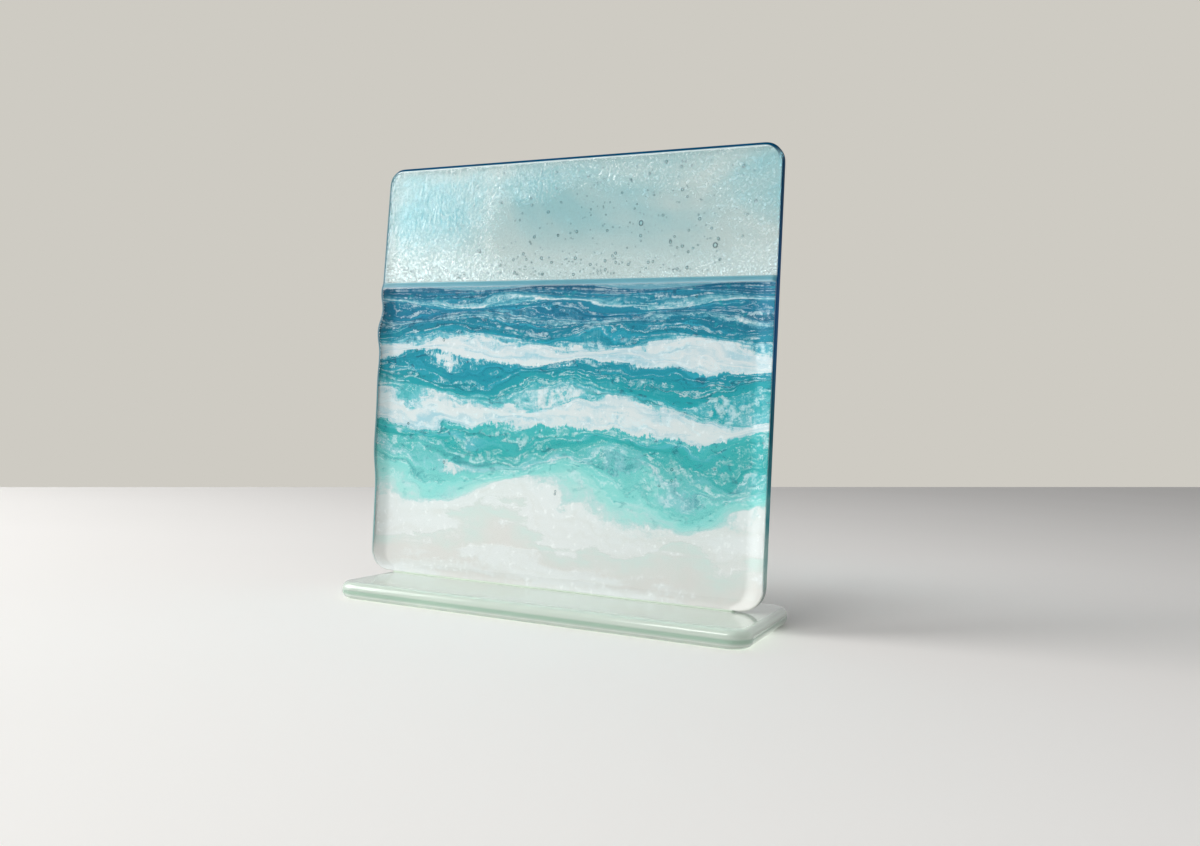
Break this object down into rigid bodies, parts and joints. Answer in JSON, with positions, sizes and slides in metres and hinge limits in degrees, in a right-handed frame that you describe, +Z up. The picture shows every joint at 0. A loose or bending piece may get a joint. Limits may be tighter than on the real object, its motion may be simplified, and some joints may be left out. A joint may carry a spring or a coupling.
{
  "type": "glass wave sculpture",
  "caption": "Upright square fused-glass panel with a clear rippled sky above a stepped horizon and flowing layered frit below, bonded on a long rounded glass base bar.",
  "frame": {"origin": "on the surface that the base bar rests on, in the middle of the overall box", "axes": "+X along the panel to the viewer's right, +Y away from the viewer, +Z up"},
  "size_m": [0.2074, 0.075, 0.2085],
  "materials": {
    "float_glass_base": "clear float glass with a green tint, fire-polished arrises",
    "clear_adhesive": "clear cured adhesive with a slight yellow-green tint",
    "back_glass": "clear fused glass with fire-polished arrises",
    "sky_glass": "pale aqua glass, rippled face, fine air bubbles",
    "sea_glass": "clear glass, fire-polished, rounded step at the horizon",
    "haze_line_colour": "fused glass frit, fine grain",
    "navy_deep_colour": "fused glass frit, fine grain",
    "far_foam_colour": "fused glass frit, fine grain",
    "ultramarine_colour": "fused glass frit, fine grain",
    "petrol_colour": "fused glass frit, fine grain",
    "teal_colour": "fused glass frit, fine grain",
    "crest_foam_colour": "fused glass frit, fine grain",
    "turquoise_colour": "fused glass frit, fine grain",
    "sea_green_colour": "fused glass frit, fine grain",
    "middle_foam_colour": "fused glass frit, fine grain",
    "aqua_colour": "fused glass frit, fine grain",
    "pale_aqua_colour": "fused glass frit, fine grain",
    "near_foam_colour": "fused glass frit, fine grain",
    "milky_shallow_colour": "fused glass frit, fine grain"
  },
  "bodies": {
    "root": {"base_lower_sheet": "float_glass_base", "base_upper_sheet": "float_glass_base", "bond_bead": "clear_adhesive", "back_sheet": "back_glass", "sky_sheet": "sky_glass", "sea_sheet": "sea_glass", "haze_line_frit": "haze_line_colour", "navy_deep_frit": "navy_deep_colour", "far_foam_frit": "far_foam_colour", "ultramarine_frit": "ultramarine_colour", "petrol_frit": "petrol_colour", "teal_frit": "teal_colour", "crest_foam_frit": "crest_foam_colour", "turquoise_frit": "turquoise_colour", "sea_green_frit": "sea_green_colour", "middle_foam_frit": "middle_foam_colour", "aqua_frit": "aqua_colour", "pale_aqua_frit": "pale_aqua_colour", "near_foam_frit": "near_foam_colour", "milky_shallow_frit": "milky_shallow_colour"}
  },
  "joints": []
}
